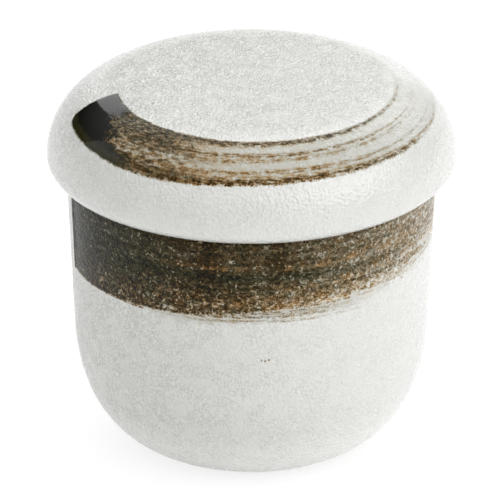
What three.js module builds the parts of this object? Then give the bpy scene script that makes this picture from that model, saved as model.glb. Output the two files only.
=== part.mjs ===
// Lidded stew pot: a turned stoneware pot and the hollow lid that sits on its rim.
// Millimetres, +Z up. The origin is the centre of the base, on the table.
import * as THREE from 'three';

// Pot, outside
const potHeight = 74.5;
const rimRadius = 47.5;
const kneeRadius = 46;
const kneeHeight = 32.5;
const footRadius = 26;
const footSlopeDegrees = 16;
const bowlFullnessAtFoot = 0.42;
const bowlFullnessAtKnee = 0.83;

// Pot, wall, inside and underside
const wallThickness = 4.6;
const lipRounding = 1.5;
const floorThickness = 5.5;
const floorRadius = 17;
const insideFullnessAtKnee = 0.76;
const insideFullnessAtFloor = 0.68;
const footRingWidth = 7;
const footEdgeRounding = 0.9;
const recessDepth = 2;
const recessFlank = 1.5;

// Lid, outside
const lidHeight = 23.6;
const lidOverhang = 5;
const lidEdgeDrop = 4.2;
const shoulderWidth = 20.5;
const crownRise = 0.4;

// Lid, shell and locating flange
const topThickness = 4.8;
const shellThickness = 5;
const seatThickness = 4.6;
const pocketRounding = 4;
const flangeDepth = 6;
const flangeThickness = 3.8;
const flangeEdgeRounding = 1.4;
const flangeRootRounding = 0.8;

// Fits between the two pieces
const seatGap = 0.3;
const flangeClearance = 0.8;

// Facets: a curve departs from its chords by no more than the sag
const chordSag = 0.05;
const roundSegments = 72;

// The fullness that makes a bend a quarter of an ellipse
const ellipseFullness = 0.5523;

const glaze = { color: 0xdddeda, roughness: 0.35, metalness: 0 };

const at = (radius, height) => new THREE.Vector2(radius, height);

// Bends from the profile's last point to the end. Both handles aim at the corner where the two tangents meet,
// and the fullness at each end is the share of that way that its handle goes.
function bendTo(profile, corner, end, fullnessAtStart = ellipseFullness, fullnessAtEnd = ellipseFullness) {
  const first = profile.currentPoint.clone().lerp(corner, fullnessAtStart);
  const second = end.clone().lerp(corner, fullnessAtEnd);
  profile.bezierCurveTo(first.x, first.y, second.x, second.y, end.x, end.y);
}

// Runs straight towards a corner and rounds it towards the next point, no further than the straights allow.
function roundCorner(profile, corner, next, rounding) {
  const before = profile.currentPoint;
  const reach = Math.min(rounding, corner.distanceTo(before), corner.distanceTo(next) / 2);
  const start = corner.clone().lerp(before, reach / corner.distanceTo(before));
  const end = corner.clone().lerp(next, reach / corner.distanceTo(next));
  profile.lineTo(start.x, start.y);
  bendTo(profile, corner, end);
}

// A curve gets as many steps as its length and its turn need.
function stepsFor(curve) {
  if (curve.isLineCurve) return 1;
  const turn = curve.getTangent(0).angleTo(curve.getTangent(1));
  return Math.ceil(Math.sqrt((curve.getLength() * turn) / (8 * chordSag)));
}

// Turns a profile of radius and height about the upright axis.
function turnedPiece(name, profile) {
  const points = [profile.getPoint(0)];
  for (const curve of profile.curves) {
    points.push(...curve.getPoints(stepsFor(curve)).slice(1));
  }
  const geometry = new THREE.LatheGeometry(points, roundSegments).rotateX(Math.PI / 2);
  const piece = new THREE.Mesh(geometry, new THREE.MeshStandardMaterial(glaze));
  piece.name = name;
  return piece;
}

// Pot: recessed base, foot ring, bowl, tapered wall and lip, then the inside down to the floor
function makePot() {
  const footInner = footRadius - footRingWidth;
  const footSlope = Math.tan(THREE.MathUtils.degToRad(footSlopeDegrees));
  const wallDraft = (rimRadius - kneeRadius) / (potHeight - kneeHeight);
  const rimInner = rimRadius - wallThickness;
  const kneeInner = kneeRadius - wallThickness;
  const floorHeight = recessDepth + floorThickness;

  // Where the wall, drawn on downwards, meets the slope that rises from the foot
  const wallAtTable = kneeRadius - wallDraft * kneeHeight;
  const cornerRadius = (wallAtTable - wallDraft * footSlope * footRadius) / (1 - wallDraft * footSlope);
  const bowlCorner = at(cornerRadius, (cornerRadius - footRadius) * footSlope);
  const insideCorner = at(kneeInner - wallDraft * (kneeHeight - floorHeight), floorHeight);

  const recessCorner = at(footInner - recessFlank, recessDepth);
  const footInnerEdge = at(footInner, 0);
  const footOuterEdge = at(footRadius, 0);
  const outerKnee = at(kneeRadius, kneeHeight);
  const outerLip = at(rimRadius, potHeight);
  const innerLip = at(rimInner, potHeight);
  const innerKnee = at(kneeInner, kneeHeight);
  const floorEdge = at(floorRadius, floorHeight);

  const profile = new THREE.Path();
  profile.moveTo(0, recessDepth);
  roundCorner(profile, recessCorner, footInnerEdge, footEdgeRounding);
  roundCorner(profile, footInnerEdge, footOuterEdge, footEdgeRounding);
  roundCorner(profile, footOuterEdge, bowlCorner, footEdgeRounding);
  bendTo(profile, bowlCorner, outerKnee, bowlFullnessAtFoot, bowlFullnessAtKnee);
  roundCorner(profile, outerLip, innerLip, lipRounding);
  roundCorner(profile, innerLip, innerKnee, lipRounding);
  profile.lineTo(innerKnee.x, innerKnee.y);
  bendTo(profile, insideCorner, floorEdge, insideFullnessAtKnee, insideFullnessAtFloor);
  profile.lineTo(0, floorHeight);
  return turnedPiece('pot', profile);
}

// Lid, on its seat plane: hollow, flange into the mouth, seat, rounded edge, shoulder and crown
function makeLid() {
  const lidRadius = rimRadius + lidOverhang;
  const topRadius = lidRadius - shoulderWidth;
  const crownSlope = (2 * crownRise) / topRadius;
  const shoulderTop = lidHeight - crownRise;
  const ceiling = shoulderTop - topThickness;
  const pocketRadius = lidRadius - shellThickness;
  const flangeOuter = rimRadius - wallThickness - flangeClearance;
  const flangeInner = flangeOuter - flangeThickness;

  const pocketTop = at(pocketRadius, seatThickness + pocketRounding);
  const pocketBottom = at(pocketRadius - pocketRounding, seatThickness);
  const flangeBrow = at(flangeInner, seatThickness);
  const flangeInnerEdge = at(flangeInner, -flangeDepth);
  const flangeOuterEdge = at(flangeOuter, -flangeDepth);
  const flangeRoot = at(flangeOuter, 0);
  const seatEdge = at(rimRadius, 0);
  const widestLine = at(lidRadius, lidEdgeDrop);
  const topEdge = at(topRadius, shoulderTop);

  const profile = new THREE.Path();
  profile.moveTo(0, ceiling);
  profile.lineTo(topRadius, ceiling);
  bendTo(profile, at(pocketRadius, ceiling), pocketTop);
  bendTo(profile, at(pocketRadius, seatThickness), pocketBottom);
  roundCorner(profile, flangeBrow, flangeInnerEdge, flangeEdgeRounding);
  roundCorner(profile, flangeInnerEdge, flangeOuterEdge, flangeEdgeRounding);
  roundCorner(profile, flangeOuterEdge, flangeRoot, flangeEdgeRounding);
  roundCorner(profile, flangeRoot, seatEdge, flangeRootRounding);
  profile.lineTo(seatEdge.x, seatEdge.y);
  bendTo(profile, at(lidRadius, 0), widestLine);
  bendTo(profile, at(lidRadius, shoulderTop - crownSlope * shoulderWidth), topEdge);
  profile.quadraticCurveTo(topRadius / 2, lidHeight, 0, lidHeight);
  return turnedPiece('lid', profile);
}

const lid = makeLid();
lid.position.z = potHeight + seatGap;

const stewPot = new THREE.Group();
stewPot.add(makePot(), lid);

export default stewPot;
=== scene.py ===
"""Looks of the lidded stew pot: white glaze with pits and painted shade in them, brushed iron strokes, studio
light and camera.
"""
import math

import bpy
import numpy as np
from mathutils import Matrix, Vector, noise


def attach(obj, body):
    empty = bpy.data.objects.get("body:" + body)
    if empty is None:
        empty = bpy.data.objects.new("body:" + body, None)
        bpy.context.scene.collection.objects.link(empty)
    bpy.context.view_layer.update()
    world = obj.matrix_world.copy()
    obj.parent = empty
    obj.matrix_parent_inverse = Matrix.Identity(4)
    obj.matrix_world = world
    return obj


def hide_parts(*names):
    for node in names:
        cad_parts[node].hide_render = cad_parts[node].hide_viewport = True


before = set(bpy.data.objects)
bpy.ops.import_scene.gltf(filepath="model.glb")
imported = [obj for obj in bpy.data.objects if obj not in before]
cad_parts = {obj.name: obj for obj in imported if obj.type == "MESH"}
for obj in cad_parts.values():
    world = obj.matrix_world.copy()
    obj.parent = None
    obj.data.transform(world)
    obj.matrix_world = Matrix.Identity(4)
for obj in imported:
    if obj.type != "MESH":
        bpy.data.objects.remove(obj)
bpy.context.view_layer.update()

MM = 0.001

# Mesh: columns round the widest line, spacing of hidden rings against seen ones, bend of one ring step
COLUMNS = {"pot": 448, "lid": 640}
FEWEST_COLUMNS = 16
HIDDEN_SPACING = 2.6
RING_BEND = 0.2

# Places in millimetres: the pot's rim, the end of the lid's flange, and the seen length of the lid's section
POT_RIM = max(vertex.co.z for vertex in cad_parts["pot"].data.vertices) / MM
LID_END = min(vertex.co.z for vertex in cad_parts["lid"].data.vertices) / MM
LID_SEEN = 72.0
# Line between the pot's outer wall and its inside: radius, how far it draws in, and below which height
WALL_LINE = 43.6
WALL_DRAWN_IN = 17.0
WALL_TURN = 45.0

# Glaze relief in millimetres: slow lumps, pitted skin, the body of a wet stroke and the bead at its start
LUMP_SIZE = 11.0
LUMP_HEIGHT = 0.06
SKIN_SIZE = 1.15
SKIN_HEIGHT = 0.09
STROKE_HEIGHT = 0.12
BEAD_HEIGHT = 0.2

# Lid stroke: turns in degrees from the front, distances in millimetres from the lid's centre along its top
LID_START = -78.0
LID_INNER_EDGE = [(-78, 34.7), (-50, 35.8), (-20, 36.7), (0, 37.2), (40, 37.0), (64, 36.6), (100, 36.3)]
LID_OUTER_EDGE = [
    (-78, 47.0), (-75, 48.8), (-70, 49.5), (-56, 50.5), (-32, 51.4), (0, 50.7), (40, 50.1), (100, 48.8),
]
# Bristle lines: share of the way across, half width, strength, and the turns where a line begins and ends
LID_BRISTLES = [
    (0.070, 0.95, 0.66, -70, 128),
    (0.380, 0.60, 0.42, -60, 122),
    (0.490, 0.55, 0.30, -60, 118),
    (0.600, 0.50, 0.26, -60, 20),
    (0.745, 0.60, 0.34, -60, 118),
    (0.850, 1.60, 0.32, -70, 40),
    (0.935, 1.10, 0.62, -70, 128),
]

# Pot band: distances in millimetres below the rim
BAND_START = -75.3
BAND_LOWER_EDGE = [
    (-76, 23.7), (-50, 23.3), (-30, 22.7), (-10, 21.6), (5, 20.2), (30, 19.2), (50, 18.8), (80, 17),
    (120, 13), (170, 5),
]
# Iron that the brush carried, by turn
BAND_LOAD = [
    (-76, 0.92), (-45, 0.76), (0, 0.70), (30, 0.56), (60, 0.42), (90, 0.34), (130, 0.22), (170, 0.0),
]
# Stripes in the band: distance below the rim, half width, change of load and of rust, first and last turn
BAND_STRIPES = [
    (8.4, 0.9, -0.16, 0.5, -40, 72),
    (10.9, 1.3, 0.12, -0.6, -66, 50),
    (13.4, 0.9, -0.12, 0.2, 0, 95),
    (15.0, 0.8, 0.12, -0.2, 10, 100),
    (18.4, 2.6, -0.08, 0.2, -44, 60),
]
# Painted reflections, darker upright patches: turn, half width in degrees, change of load and change of rust
BAND_PAINTED_REFLECTIONS = [(-13, 6.0, 0.12, 0.5), (7.5, 4.5, 0.10, 0.4)]
# Thin streaks that the brush's edge left under the band: distance below the rim, half width and strength
BAND_STREAKS = [(20.7, 0.60, 0.68), (21.8, 0.50, 0.62), (23.0, 0.45, 0.50)]

# Iron specks in the white: turn, distance along the section from its outer end, and reach
LID_SPECKS = [(-60.0, 28.7, 0.45), (-83.0, 27.8, 0.4)]
# The same on the pot, with the distance below the rim
POT_SPECKS = [(3.2, 34.0, 0.36), (4.3, 34.2, 0.42), (5.5, 33.9, 0.33), (43.6, 33.6, 0.35)]
# Iron in a speck, and the length of one degree of turn there in millimetres
LID_SPECK_IRON = 0.8
LID_DEGREE = 0.49
POT_SPECK_IRON = 0.45
POT_DEGREE = 0.80

# Camera
CAMERA_ELEVATION = math.radians(24.72)
CAMERA_DISTANCE = 1.2
CAMERA_AIM = Vector((-0.00036, 0.0, 0.05067))
SENSOR_WIDTH = 36.0
LENS = 333.0

# Softboxes: azimuth and elevation in degrees, distance, width and height in metres, and level
SOFTBOXES = {
    "softbox_right": (60, 32, 1.3, 1.2, 0.75, 0.445),
    "glint_left": (-40, 27, 1.3, 0.12, 0.12, 0.09),
    "glint_right": (27, 28, 1.3, 0.12, 0.12, 0.045),
    "panel_left": (-104, 26, 1.2, 0.6, 0.8, 0.07),
    "softbox_front": (10, 5, 1.4, 1.2, 0.2, 0.02),
    "panel_back": (169.5, 33, 1.4, 1.7, 1.1, 0.61),
}
CEILING_LEVEL = 1.24
HORIZON_LEVEL = 0.05


# Sections of the pieces
def walk_section(node, pick_start):
    """Radius and height of a node's section in metres, from one end on the axis to the other."""
    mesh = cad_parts[node].data
    places = np.array([v.co for v in mesh.vertices])
    on_section = (np.abs(places[:, 0]) < 1e-6) & (places[:, 1] < 1e-6)
    keys = [tuple(np.round(place[1:] / 1e-7).astype(int)) for place in places]
    neighbours = {}
    for edge in mesh.edges:
        a, b = edge.vertices
        if on_section[a] and on_section[b] and keys[a] != keys[b]:
            neighbours.setdefault(keys[a], set()).add(keys[b])
            neighbours.setdefault(keys[b], set()).add(keys[a])
    here = pick_start((key for key in neighbours if key[0] == 0), key=lambda key: key[1])
    path = [here]
    seen = {here}
    while ahead := neighbours[here] - seen:
        here = ahead.pop()
        seen.add(here)
        path.append(here)
    return np.array([(-y, z) for y, z in path]) * 1e-7


def smooth_curve(points, step=0.02 * MM):
    """A dense curve through the points. The longer neighbour leads each tangent: straights stay straight."""
    chords = np.diff(points, axis=0)
    tangents = np.zeros_like(points)
    tangents[:-1] += chords
    tangents[1:] += chords
    tangents /= np.hypot(*tangents.T)[:, None]
    runs = []
    for a, b, chord, leave, arrive in zip(points, points[1:], chords, tangents, tangents[1:]):
        length = np.hypot(*chord)
        t = np.linspace(0, 1, max(2, int(length / step)), endpoint=False)[:, None]
        runs.append(
            (1 + 2 * t) * (1 - t) ** 2 * a + t * (1 - t) ** 2 * length * leave
            + t * t * (3 - 2 * t) * b + t * t * (t - 1) * length * arrive
        )
    return np.concatenate([*runs, points[-1:]])


class Section:
    """The rings of a turned piece, from its outer end on the axis to its inner one."""

    def __init__(self, node, pick_start, side, seen):
        corners = walk_section(node, pick_start)
        curve = smooth_curve(corners)
        steps = np.diff(curve, axis=0)
        along = np.concatenate([[0.0], np.cumsum(np.hypot(*steps.T))])
        heading = np.unwrap(np.arctan2(steps[:, 1], steps[:, 0]))
        heading = np.append(heading, heading[-1])
        bend = np.abs(np.gradient(heading, along))
        spacing = 2 * math.pi * curve[:, 0].max() / COLUMNS[node]
        stations = [0.0]
        wanted = []
        while stations[-1] < along[-1]:
            here = stations[-1]
            radius, height = (np.interp(here, along, curve[:, axis]) for axis in (0, 1))
            step = spacing if seen(radius, height, here) else spacing * HIDDEN_SPACING
            sharpest = bend[(along >= here) & (along <= here + step)].max()
            wanted.append(step)
            stations.append(here + max(0.4 * spacing, min(step, RING_BEND / max(sharpest, 1.0))))
        wanted.append(wanted[-1])
        self.along = np.array(stations) * along[-1] / stations[-1]
        self.radius, self.height = (np.interp(self.along, along, curve[:, axis]) for axis in (0, 1))
        self.height = np.clip(self.height, corners[:, 1].min(), corners[:, 1].max())
        self.radius[[0, -1]] = 0.0
        turned = np.interp(self.along, along, heading)
        self.normal = side * np.stack([np.sin(turned), -np.cos(turned)], 1)
        self.side = side
        self.spacing = np.array(wanted)
        self.columns = self.choose_columns(COLUMNS[node])

    def choose_columns(self, most):
        """Columns of each ring: halved as rings get small or hidden, one step at most between two rings."""
        round_length = 2 * math.pi * np.maximum(self.radius, 1e-6)
        halvings = np.floor(np.log2(most * self.spacing / round_length) + 0.3)
        halvings = np.clip(halvings, 0, math.log2(most / FEWEST_COLUMNS)).astype(int)
        for i in range(1, len(halvings)):
            halvings[i] = min(halvings[i], halvings[i - 1] + 1)
        for i in reversed(range(len(halvings) - 1)):
            halvings[i] = min(halvings[i], halvings[i + 1] + 1)
        columns = most >> halvings
        columns[[0, -1]] = 1
        return columns


# Turned meshes
def faces_between(lower, below, above):
    """Kinds of faces between a ring and the next, each a list of corners given as ring and columns."""
    upper = lower + 1
    c = np.arange(max(below, above) if 1 in (below, above) else min(below, above))
    if below == above:
        return [[(lower, c), (lower, c + 1), (upper, c + 1), (upper, c)]]
    if above == 1:
        return [[(lower, c), (lower, c + 1), (upper, c)]]
    if below == 1:
        return [[(lower, c), (upper, c + 1), (upper, c)]]
    first, middle, last = 2 * c, 2 * c + 1, 2 * c + 2
    if below > above:
        return [
            [(lower, first), (lower, middle), (upper, c)],
            [(lower, middle), (upper, c + 1), (upper, c)],
            [(lower, middle), (lower, last), (upper, c + 1)],
        ]
    return [
        [(lower, c), (upper, middle), (upper, first)],
        [(lower, c), (lower, c + 1), (upper, middle)],
        [(lower, c + 1), (upper, last), (upper, middle)],
    ]


def corner_turn(ring, column, columns, fan):
    """A corner's share of the way round, from the back. On the axis it is the middle of its triangle."""
    if columns[ring] == 1:
        return (column + 0.5) / fan
    return column / columns[ring]


def bake_place(turn, share, outside):
    """Places of a face's corners in the bake map: the outside's front, its back and the inside, in rows."""
    margin = 0.006
    outside_tall = 0.35
    inside_tall = 0.30
    middle = turn.mean(axis=1, keepdims=True)
    front = np.abs(middle - 0.5) < 0.25
    half = np.where(front, (turn - 0.25) * 2, (turn + np.where(middle < 0.5, 0.25, -0.75)) * 2)
    across = half if outside else turn
    row = np.where(front, 0.0, outside_tall) if outside else 2 * outside_tall
    tall = outside_tall if outside else inside_tall
    return np.stack([
        margin + across * (1 - 2 * margin),
        row + margin + share * (tall - 2 * margin),
    ], -1)


def turned_mesh(name, section, relief, inside_from):
    """The mesh of a section turned about the axis, raised along its normals by the relief."""
    columns = section.columns
    firsts = np.concatenate([[0], np.cumsum(columns)])
    ring = np.repeat(np.arange(len(columns)), columns)
    turn = (np.arange(firsts[-1]) - firsts[ring]) / columns[ring]
    angle = (turn - 0.5) * 2 * math.pi
    out = np.stack([np.sin(angle), -np.cos(angle), np.zeros_like(angle)], 1)
    up = np.array([0.0, 0.0, 1.0])
    places = section.radius[ring, None] * out + section.height[ring, None] * up
    normals = section.normal[ring, :1] * out + section.normal[ring, 1:] * up
    raised = relief(places / MM, np.degrees(angle), section.along[ring] / MM)
    places = places + normals * raised[:, None] * MM

    faces, turned, baked = [], [], []
    lengths = section.along[inside_from], section.along[-1] - section.along[inside_from]
    for lower in range(len(columns) - 1):
        fan = max(columns[lower], columns[lower + 1])
        outside = lower < inside_from
        for corners in faces_between(lower, columns[lower], columns[lower + 1]):
            if section.side < 0:
                corners = corners[::-1]
            ids = np.stack([firsts[r] + c % columns[r] for r, c in corners], 1)
            shares = np.stack([corner_turn(r, c, columns, fan) for r, c in corners], 1)
            along = np.stack([np.full(len(c), section.along[r]) for r, c in corners], 1)
            share = along / lengths[0] if outside else (along - lengths[0]) / lengths[1]
            faces.extend(ids.tolist())
            turned.append(np.stack([shares, along / MM / 100], -1).reshape(-1, 2))
            baked.append(bake_place(shares, share, outside).reshape(-1, 2))

    mesh = bpy.data.meshes.new(name)
    mesh.from_pydata(places.tolist(), [], faces)
    for layer, values in (("Turned", turned), ("OFBake", baked)):
        uv = mesh.uv_layers.new(name=layer)
        uv.data.foreach_set("uv", np.concatenate(values).astype(np.float32).ravel())
    mesh.shade_smooth()
    mesh.validate()
    return mesh


# Relief of the glaze
def smoothstep(low, high, value):
    t = np.clip((value - low) / (high - low), 0, 1)
    return t * t * (3 - 2 * t)


def waves(places, size, seed):
    """Smooth noise from -1 to 1 whose bumps are about one size apart."""
    shift = Vector((seed * 17.3, seed * 9.1, seed * 5.7))
    return np.array([noise.noise(Vector(place) / size + shift) for place in places])


def at_turn(points, turn):
    return np.interp(turn, *np.array(points, float).T)


def lid_stroke_body(turn, along):
    """The stroke's thickness on the lid, from 0 to 1: most where the brush was set down."""
    inner, outer = at_turn(LID_INNER_EDGE, turn), at_turn(LID_OUTER_EDGE, turn)
    across = smoothstep(inner - 0.2, inner + 0.9, along) * smoothstep(outer + 0.2, outer - 0.9, along)
    begun = smoothstep(LID_START - 0.4, LID_START + 1.2, turn)
    return across * begun * smoothstep(30, -62, turn)


def band_body(turn, below):
    """The same for the pot's band."""
    lower = at_turn(BAND_LOWER_EDGE, turn)
    across = smoothstep(lower + 0.3, lower - 1.0, below)
    begun = smoothstep(BAND_START - 0.4, BAND_START + 1.0, turn)
    return across * begun * smoothstep(140, -72, turn)


def lid_relief(places, turn, along):
    free = smoothstep(POT_RIM + 0.9, POT_RIM + 3.5, places[:, 2]) * (along < LID_SEEN + 3)
    body = lid_stroke_body(turn, along)
    skin = waves(places, SKIN_SIZE, 1) * SKIN_HEIGHT * (1 - 0.9 * smoothstep(0.85, 1.0, body))
    lumps = waves(places, LUMP_SIZE, 2) * LUMP_HEIGHT
    return free * (skin + lumps + STROKE_HEIGHT * body)


def on_pot_outside(radius, height):
    """Whether a place on the pot's section, in millimetres, is on the outer wall."""
    return radius > WALL_LINE - WALL_DRAWN_IN * smoothstep(WALL_TURN, 0, height)


def pot_relief(places, turn, along):
    height = places[:, 2]
    outside = on_pot_outside(np.hypot(places[:, 0], places[:, 1]), height)
    below = POT_RIM - height
    free = smoothstep(0.6, 2.5, height) * smoothstep(0.3, 2.5, below) * outside
    body = band_body(turn, below)
    skin = waves(places, SKIN_SIZE, 3) * SKIN_HEIGHT * (1 - 0.4 * body)
    lumps = waves(places, LUMP_SIZE, 4) * LUMP_HEIGHT
    bead = np.exp(-((turn - BAND_START - 0.4) / 0.8) ** 2) * smoothstep(24.2, 23.2, below)
    return free * (skin + lumps + STROKE_HEIGHT * body + BEAD_HEIGHT * bead)


# Node graphs
def srgb(red, green, blue):
    """A colour given in display values from 0 to 255."""
    linear = [(c / 255 + 0.055) / 1.055 for c in (red, green, blue)]
    return (*(c ** 2.4 for c in linear), 1.0)


class Field:
    """A number that varies over a surface, with the usual signs for sums and products."""

    def __init__(self, graph, socket):
        self.graph = graph
        self.socket = socket

    def __add__(self, other):
        return self.graph.math("ADD", self, other)

    def __sub__(self, other):
        return self.graph.math("SUBTRACT", self, other)

    def __rsub__(self, other):
        return self.graph.math("SUBTRACT", other, self)

    def __mul__(self, other):
        return self.graph.math("MULTIPLY", self, other)

    def __truediv__(self, other):
        return self.graph.math("DIVIDE", self, other)

    __radd__ = __add__
    __rmul__ = __mul__

    def __abs__(self):
        return self.graph.math("ABSOLUTE", self)

    def fade(self, start, end):
        """0 at the start and 1 at the end, smooth between them."""
        node = self.graph.add("ShaderNodeMapRange", interpolation_type="SMOOTHSTEP")
        for socket, value in zip(node.inputs, (self, start, end)):
            self.graph.feed(socket, value)
        return Field(self.graph, node.outputs["Result"])

    def at(self, points):
        """The value looked up in a list of points, with a smooth run through them."""
        xs, ys = np.array(points, float).T
        low, tall = ys.min(), np.ptp(ys)
        node = self.graph.add("ShaderNodeFloatCurve")
        line = node.mapping.curves[0]
        spots = np.stack([(xs - xs[0]) / np.ptp(xs), (ys - low) / tall], 1)
        line.points[0].location = spots[0]
        line.points[1].location = spots[-1]
        for spot in spots[1:-1]:
            line.points.new(*spot)
        for point in line.points:
            point.handle_type = "AUTO_CLAMPED"
        node.mapping.extend = "HORIZONTAL"
        node.mapping.update()
        self.graph.feed(node.inputs["Value"], (self - xs[0]) / np.ptp(xs))
        return Field(self.graph, node.outputs["Value"]) * tall + low


class Graph:
    """The node tree of a material or of the world, made by short calls."""

    def __init__(self, owner):
        owner.use_nodes = True
        self.tree = owner.node_tree
        self.tree.nodes.clear()

    def add(self, kind, **settings):
        node = self.tree.nodes.new(kind)
        for name, value in settings.items():
            setattr(node, name, value)
        return node

    def feed(self, socket, value):
        if isinstance(value, Field):
            value = value.socket
        if isinstance(value, bpy.types.NodeSocket):
            self.tree.links.new(value, socket)
        else:
            socket.default_value = value

    def math(self, operation, *values):
        node = self.add("ShaderNodeMath", operation=operation)
        for socket, value in zip(node.inputs, values):
            self.feed(socket, value)
        return Field(self, node.outputs[0])

    def most(self, a, b):
        return self.math("MAXIMUM", a, b)

    def vector(self, x, y, z):
        node = self.add("ShaderNodeCombineXYZ")
        for socket, value in zip(node.inputs, (x, y, z)):
            self.feed(socket, value)
        return node.outputs[0]

    def noise(self, vector, size=1.0, detail=1.0, seed=0.0, swirl=0.0):
        """Noise about 0, from about -1 to 1, whose bumps are about two sizes apart."""
        node = self.add("ShaderNodeTexNoise", noise_dimensions="4D")
        self.feed(node.inputs["Vector"], vector)
        node.inputs["W"].default_value = seed
        node.inputs["Scale"].default_value = 1 / size
        node.inputs["Detail"].default_value = detail
        node.inputs["Distortion"].default_value = swirl
        return (Field(self, node.outputs["Fac"]) - 0.5) * 3.0

    def ramp(self, value, stops):
        node = self.add("ShaderNodeValToRGB")
        elements = node.color_ramp.elements
        while len(elements) < len(stops):
            elements.new(1.0)
        for element, (position, colour) in zip(elements, stops):
            element.position = position
            element.color = colour
        self.feed(node.inputs["Fac"], value)
        return node.outputs["Color"]

    def mix(self, factor, a, b):
        node = self.add("ShaderNodeMix", data_type="RGBA")
        self.feed(node.inputs["Factor"], factor)
        for socket, value in zip([s for s in node.inputs if s.type == "RGBA"], (a, b)):
            self.feed(socket, value)
        return next(s for s in node.outputs if s.type == "RGBA")

    def shade(self, colour, brightness):
        """A colour made lighter or darker by a field about 1."""
        node = self.add("ShaderNodeVectorMath", operation="SCALE")
        self.feed(node.inputs[0], colour[:3])
        self.feed(node.inputs["Scale"], brightness)
        return node.outputs["Vector"]


# Glazes
WARM_IRON = [
    (0.00, srgb(216, 215, 208)),
    (0.14, srgb(208, 203, 189)),
    (0.32, srgb(186, 164, 128)),
    (0.48, srgb(146, 113, 70)),
    (0.64, srgb(100, 73, 36)),
    (0.80, srgb(59, 42, 11)),
    (1.00, srgb(20, 14, 2)),
]
COOL_IRON = [
    (0.00, srgb(216, 216, 211)),
    (0.14, srgb(200, 200, 194)),
    (0.32, srgb(168, 163, 148)),
    (0.48, srgb(122, 117, 97)),
    (0.64, srgb(80, 77, 58)),
    (0.80, srgb(46, 44, 20)),
    (1.00, srgb(9, 9, 2)),
]
WHITE_GLAZE = srgb(222, 222, 218)
BARE_CLAY = srgb(196, 178, 150)
GLAZE_IOR = 1.2
COAT_IOR = 1.7
COAT_ROUGHNESS = 0.06
# Distance to the right, in millimetres, over which the pitting and its painted shade weaken by one lean
LEAN_REACH = 45.0


class Glaze:
    """What both glazes share: the graph, places in millimetres, and the noises that they use."""

    def __init__(self, name):
        self.material = bpy.data.materials.new(name)
        self.graph = g = Graph(self.material)
        spot = g.add("ShaderNodeTexCoord").outputs["Object"]
        scaled = g.add("ShaderNodeVectorMath", operation="SCALE")
        g.feed(scaled.inputs[0], spot)
        g.feed(scaled.inputs["Scale"], 1 / MM)
        self.place = scaled.outputs["Vector"]
        split = g.add("ShaderNodeSeparateXYZ")
        g.feed(split.inputs[0], self.place)
        self.height = Field(g, split.outputs["Z"])
        self.lean = Field(g, split.outputs["X"]) / LEAN_REACH
        unrolled = g.add("ShaderNodeSeparateXYZ")
        g.feed(unrolled.inputs[0], g.add("ShaderNodeUVMap", uv_map="Turned").outputs["UV"])
        self.turn = (Field(g, unrolled.outputs["X"]) - 0.5) * 360
        self.along = Field(g, unrolled.outputs["Y"]) * 100
        self.grain = g.noise(self.place, 0.45, seed=0.0)
        self.fleck = g.noise(self.place, 0.90, detail=2, seed=4.0, swirl=0.8)
        self.clump = g.noise(self.place, 1.7, seed=8.0)

    def brush(self, along, run, width, seed, swirl=0.0):
        """Noise drawn out along the brush's way: run in degrees, width in millimetres."""
        g = self.graph
        return g.noise(g.vector(self.turn / run, along / width, 0.0), detail=1.5, seed=seed, swirl=swirl)

    def speck(self, turn, along, reach, degree):
        """A small dark spot, with the length of one degree there in millimetres."""
        g = self.graph
        sideways = (self.turn - turn) * degree
        lengthways = self.along - along
        away = g.math("SQRT", sideways * sideways + lengthways * lengthways)
        return (away + 0.25 * self.grain).fade(reach, reach * 0.3)

    def finish(self, iron, rust, thick, pits_and_shade, bare, painted_light_and_shade):
        """Joins white glaze, iron and bare clay. Pooled is painted light above 0 and painted shade below 0.
        """
        g = self.graph
        fold = abs(g.noise(self.place, 1.05, seed=1.0, swirl=0.6))
        pits = g.noise(self.place, 0.30, seed=2.0)
        peel = g.noise(self.place, 0.75, seed=12.0)
        busy = g.noise(self.place, 4.5, detail=2, seed=6.0).fade(-0.45, 0.25)
        valley = fold.fade(0.30, 0.0) * (0.2 + 0.8 * busy)
        # Painted shade: the white darker in the valleys and low pits of the bump, more where the pitting is
        # strong.
        painted_pit_shade = (0.16 * valley - 0.13 * pits * (0.5 + 0.5 * busy) * pits_and_shade) * pits_and_shade
        white = g.shade(WHITE_GLAZE, 1.03 + 0.18 * painted_light_and_shade - painted_pit_shade)
        tint = g.mix(rust, g.ramp(iron, COOL_IRON), g.ramp(iron, WARM_IRON))
        colour = g.mix(iron.fade(0.0, 0.1), white, tint)
        colour = g.mix(bare, colour, g.shade(BARE_CLAY, 1 + 0.08 * self.grain + 0.06 * self.clump))
        roughness = 0.16 + 0.04 * pits - 0.09 * thick + 0.45 * bare
        height = (0.13 * fold.fade(0.0, 0.5) + 0.06 * pits) * (0.9 * pits_and_shade - 0.27) + 0.13 * peel
        height = height * (1 - 0.98 * thick)

        bump = g.add("ShaderNodeBump")
        bump.inputs["Distance"].default_value = MM
        g.feed(bump.inputs["Height"], height)
        shader = g.add("ShaderNodeBsdfPrincipled")
        shader.inputs["IOR"].default_value = GLAZE_IOR
        shader.inputs["Coat IOR"].default_value = COAT_IOR
        shader.inputs["Coat Roughness"].default_value = COAT_ROUGHNESS
        coat = (0.4 + 0.6 * pits_and_shade.fade(1.2, 0.5)) * iron.fade(0.25, 0.0) + 0.2 * thick
        g.feed(shader.inputs["Coat Weight"], coat * (1 - bare))
        g.feed(shader.inputs["Coat Normal"], bump.outputs["Normal"])
        g.feed(shader.inputs["Base Color"], colour)
        g.feed(shader.inputs["Roughness"], roughness)
        g.feed(shader.inputs["Normal"], bump.outputs["Normal"])
        output = g.add("ShaderNodeOutputMaterial")
        g.feed(output.inputs["Surface"], shader.outputs["BSDF"])
        return self.material


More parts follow.
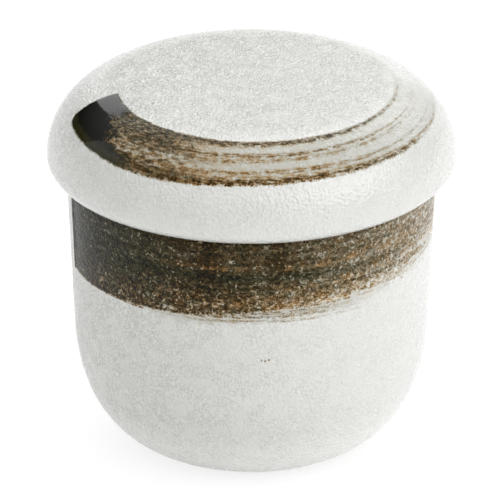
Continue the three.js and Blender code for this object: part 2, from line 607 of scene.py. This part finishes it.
def lid_glaze():
    glaze = Glaze("lid_glaze")
    g, turn, along = glaze.graph, glaze.turn, glaze.along
    grain, fleck, clump = glaze.grain, glaze.fleck, glaze.clump
    streak = glaze.brush(along, 40, 0.9, 3.0)
    dash = glaze.brush(along, 3.2, 0.5, 7.0)
    worm = glaze.brush(along, 3.2, 0.95, 9.0, swirl=0.3)

    ragged = 0.22 * clump + 0.40 * grain
    inner = turn.at(LID_INNER_EDGE) + ragged
    outer = turn.at(LID_OUTER_EDGE) + ragged
    width = outer - inner
    across = (along - inner) / width
    begun = (turn + 0.3 * grain).fade(LID_START - 0.5, LID_START + 0.5)
    covered = along.fade(inner - 0.4, inner + 0.5) * along.fade(outer + 0.4, outer - 0.5) * begun

    reach = 7 * across.fade(0.35, 0.55) + 11 * across.fade(0.65, 0.9)
    thick = (turn + 4 * clump + 5 * grain - reach).fade(-56, -64)
    wet = (turn + 12 * streak + 5 * clump + 10 * grain).fade(-6, -36)
    thinning = turn.fade(130, -30)
    drawn = 0.0
    for share, half, strength, first, last in LID_BRISTLES:
        offset = abs((across - share) * width + 0.5 * streak + 0.2 * fleck)
        line = offset.fade(half * 2.4 * thinning, 0.0)
        run = turn.fade(first, first + 30) * turn.fade(last, last - 110)
        drawn = g.most(drawn, strength * line * run)
    wash = 0.19 - 0.05 * turn.fade(20, 80) + 0.05 * dash + 0.05 * clump + 0.04 * fleck
    crumbs = 0.45 * grain + 0.75 * dash + 0.40 * fleck + 0.4 * clump
    drawn = wash + drawn * (0.66 + crumbs)
    middle = abs(across - 0.62).fade(0.24, 0.05)
    soaked = 0.69 - 0.20 * middle + 0.36 * worm + 0.26 * fleck + 0.15 * grain + 0.18 * streak
    iron = g.most(drawn, 0.10) * (1 - wet) + g.most(soaked, 0.12) * wet
    settled = 1.10 + 0.10 * fleck - 0.25 * across.fade(0.75, 0.9)
    iron = iron * (1 - thick) + settled * thick
    iron = iron * covered * (turn + 6 * clump).fade(114, 82)
    for speck in LID_SPECKS:
        iron = g.most(iron, LID_SPECK_IRON * glaze.speck(*speck, LID_DEGREE))

    rust = iron.fade(0.15, 0.4) * (0.45 + 0.3 * across) + 0.4 * clump + 0.3 * streak
    rust = (rust - 0.2 * wet - 0.45 * turn.fade(5, 60)) * (1 - thick)
    # Pitting and its painted shade: strongest on the lid's top, weakest on its outer edge, and weaker to the
    # right.
    pits_and_shade = 0.5 + 1.15 * along.fade(42, 33) - 0.25 * glaze.lean
    bare = (glaze.height + 0.25 * clump).fade(LID_END + 0.8, LID_END + 0.4)
    # Painted shade: the white darker towards the lid's outer edge.
    painted_light_and_shade = -0.16 * along.fade(38, 46)
    return glaze.finish(iron, rust, thick * covered, pits_and_shade, bare, painted_light_and_shade)


def pot_glaze(rim_along):
    glaze = Glaze("pot_glaze")
    g, turn, grain, fleck, clump = glaze.graph, glaze.turn, glaze.grain, glaze.fleck, glaze.clump
    below = rim_along - glaze.along
    streak = glaze.brush(below, 30, 0.8, 11.0)
    drift = glaze.brush(below, 9, 2.0, 5.0)
    dash = glaze.brush(below, 3.0, 0.5, 2.0)
    worm = glaze.brush(below, 1.7, 0.75, 9.0, swirl=0.8)
    dry = turn.fade(-70, 100)

    feather = 0.6 + 2.0 * dry
    lower = turn.at(BAND_LOWER_EDGE)
    edge = ((lower - below) / feather + 0.6 * grain + 0.5 * clump + 0.6 * streak).fade(-0.7, 0.6)
    start = BAND_START + 0.3 * clump + 0.4 * drift
    begun = turn.fade(start - 0.5, start + 0.4)
    covered = edge * below.fade(-0.6, 0.2) * begun

    load = turn.at(BAND_LOAD)
    rust = 0.38 + 0.45 * drift + 0.35 * clump + 0.15 * below.fade(10, 18)
    rust = rust - 0.5 * turn.fade(-15, -55) * below.fade(20, 13)
    rust = rust - 0.2 * below.fade(lower - 0.5, lower + 1.0)
    broken = (0.5 + 0.7 * clump + 0.8 * drift).fade(0.0, 0.9)
    for place, half, more, redder, first, last in BAND_STRIPES:
        line = abs(below - place + 0.7 * streak + 0.4 * clump).fade(half * 1.5, 0.0)
        run = (turn + 14 * clump).fade(first, first + 30) * (turn + 14 * clump).fade(last, last - 30)
        load = load + more * line * run * broken
        rust = rust + redder * line * run * broken
    # Painted reflections: the band darker and redder in two upright patches.
    for place, half, more, redder in BAND_PAINTED_REFLECTIONS:
        painted_reflection = abs(turn - place + 2 * drift + clump).fade(half, 0.0) * below.fade(18, 8)
        load = load + more * painted_reflection
        rust = rust + redder * painted_reflection

    lively = 0.8 + 0.4 * below.fade(9, 17)
    bright = (fleck + 0.5 * worm + 0.25 * dry + 0.15 * below.fade(14, 21)).fade(0.15, 0.85)
    rust = rust - 0.25 * bright
    load = load - 0.22 * dry * below.fade(lower - 8, lower)
    iron = load + 0.10 * drift + (0.04 + 0.12 * dry) * streak + (0.34 * worm + 0.15 * grain) * lively
    iron = (iron + 0.08 - (0.42 + 0.14 * turn.fade(20, -20)) * bright) * covered
    fringe = ((lower + 2.8 - below) / 1.6 + 1.2 * streak + 0.8 * clump).fade(0.0, 1.0)
    fringe = fringe * turn.fade(-45, -10) * turn.fade(60, 15)
    iron = g.most(iron, (0.15 + 0.06 * clump) * fringe)
    for place, half, strength in BAND_STREAKS:
        line = abs(below - place + 0.4 * streak).fade(half * 1.8, 0.0)
        run = turn.fade(-45, -12) * turn.fade(55, 5)
        dotted = (0.5 + 0.6 * dash + 0.5 * grain).fade(0.0, 1.2)
        iron = g.most(iron, strength * line * run * dotted + 0.12 * fringe)
    bead = abs(turn - start - 0.5).fade(1.0, 0.4) * covered
    iron = g.most(iron, bead)
    for side, down, reach in POT_SPECKS:
        iron = g.most(iron, POT_SPECK_IRON * glaze.speck(side, rim_along - down, reach, POT_DEGREE))

    bare = (glaze.height + 0.2 * clump).fade(0.5, 0.25)
    thick = 0.15 * covered * turn.fade(-40, -70)
    # Pitting and its painted shade: heavier on the pot's left side, lighter on the right where the light
    # falls.
    pits_and_shade = 1.0 - 0.55 * glaze.lean
    # Painted light: the white lighter towards the pot's bottom, standing in for light thrown up by the table.
    painted_light_and_shade = (glaze.height + clump).fade(21, 7)
    return glaze.finish(iron, rust, thick, pits_and_shade, bare, painted_light_and_shade)


# Pieces
def add_piece(node, body, section, relief, inside_from, material):
    mesh = turned_mesh(node + "_glazed", section, relief, inside_from)
    mesh.materials.append(material)
    piece = bpy.data.objects.new(node + "_glazed", mesh)
    bpy.context.scene.collection.objects.link(piece)
    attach(piece, body)
    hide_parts(node)


def make_pot():
    section = Section("pot", min, 1, lambda radius, height, along: on_pot_outside(radius / MM, height / MM))
    rim = int(np.argmax(section.height))
    material = pot_glaze(section.along[rim] / MM)
    add_piece("pot", "pot", section, pot_relief, rim, material)


def make_lid():
    section = Section("lid", max, -1, lambda radius, height, along: along < LID_SEEN * MM)
    seat = int(np.argmin(np.abs(section.along - LID_SEEN * MM)))
    add_piece("lid", "lid", section, lid_relief, seat, lid_glaze())


# Studio
def light_path(graph, *names):
    """1 for rays of any of the kinds named."""
    node = graph.add("ShaderNodeLightPath")
    first, *rest = (Field(graph, node.outputs[name]) for name in names)
    for other in rest:
        first = graph.most(first, other)
    return first


def make_floor():
    """A white table. Seen directly or mirrored it is lifted towards white, and its shadow stays."""
    size = 8.0
    lift = 0.75
    strength = 1.08
    mesh = bpy.data.meshes.new("floor")
    corners = [(-size, -size, 0), (size, -size, 0), (size, size, 0), (-size, size, 0)]
    mesh.from_pydata(corners, [], [(0, 1, 2, 3)])
    floor = bpy.data.objects.new("floor", mesh)
    bpy.context.scene.collection.objects.link(floor)
    material = bpy.data.materials.new("floor_white")
    g = Graph(material)
    shown = light_path(g, "Is Camera Ray", "Is Glossy Ray", "Is Transmission Ray")
    matt = g.add("ShaderNodeBsdfDiffuse")
    matt.inputs["Color"].default_value = (0.98, 0.98, 0.98, 1.0)
    white = g.add("ShaderNodeEmission")
    white.inputs["Strength"].default_value = strength
    mixed = g.add("ShaderNodeMixShader")
    g.feed(mixed.inputs[0], shown * lift)
    g.feed(mixed.inputs[1], matt.outputs[0])
    g.feed(mixed.inputs[2], white.outputs[0])
    g.feed(g.add("ShaderNodeOutputMaterial").inputs["Surface"], mixed.outputs[0])
    mesh.materials.append(material)


def make_world():
    """White to camera and transmission rays. As light and in reflections, a bright ceiling, a dim horizon."""
    world = bpy.data.worlds.new("studio")
    bpy.context.scene.world = world
    g = Graph(world)
    direction = g.add("ShaderNodeSeparateXYZ")
    g.feed(direction.inputs[0], g.add("ShaderNodeTexCoord").outputs["Generated"])
    ceiling = HORIZON_LEVEL + CEILING_LEVEL * Field(g, direction.outputs["Z"]).fade(0.25, 0.95)
    shown = light_path(g, "Is Camera Ray", "Is Transmission Ray")
    background = g.add("ShaderNodeBackground")
    g.feed(background.inputs["Strength"], ceiling * (1 - shown) + shown)
    g.feed(g.add("ShaderNodeOutputWorld").inputs["Surface"], background.outputs[0])


def add_softbox(name, azimuth, elevation, distance, width, height, level):
    """A softbox aimed at the pot. Level 1 lights a facing surface until its colour shows as written."""
    lamp = bpy.data.lights.new(name, "AREA")
    lamp.shape = "RECTANGLE"
    lamp.size = width
    lamp.size_y = height
    lamp.energy = level * (math.pi * distance) ** 2
    a, e = math.radians(azimuth), math.radians(elevation)
    back = Vector((math.sin(a) * math.cos(e), -math.cos(a) * math.cos(e), math.sin(e)))
    softbox = bpy.data.objects.new(name, lamp)
    softbox.location = CAMERA_AIM + back * distance
    softbox.rotation_mode = "QUATERNION"
    softbox.rotation_quaternion = back.to_track_quat("Z", "Y")
    softbox.visible_camera = False
    bpy.context.scene.collection.objects.link(softbox)


def make_camera():
    camera = bpy.data.cameras.new("camera")
    camera.sensor_width = SENSOR_WIDTH
    camera.lens = LENS
    seat = bpy.data.objects.new("camera", camera)
    back = Vector((0.0, -math.cos(CAMERA_ELEVATION), math.sin(CAMERA_ELEVATION)))
    seat.location = CAMERA_AIM + back * CAMERA_DISTANCE
    seat.rotation_mode = "QUATERNION"
    seat.rotation_quaternion = back.to_track_quat("Z", "Y")
    bpy.context.scene.collection.objects.link(seat)
    bpy.context.scene.camera = seat


make_pot()
make_lid()
make_floor()
make_world()
for softbox_name, softbox_setting in SOFTBOXES.items():
    add_softbox(softbox_name, *softbox_setting)
make_camera()
bpy.context.scene.view_settings.view_transform = "Standard"
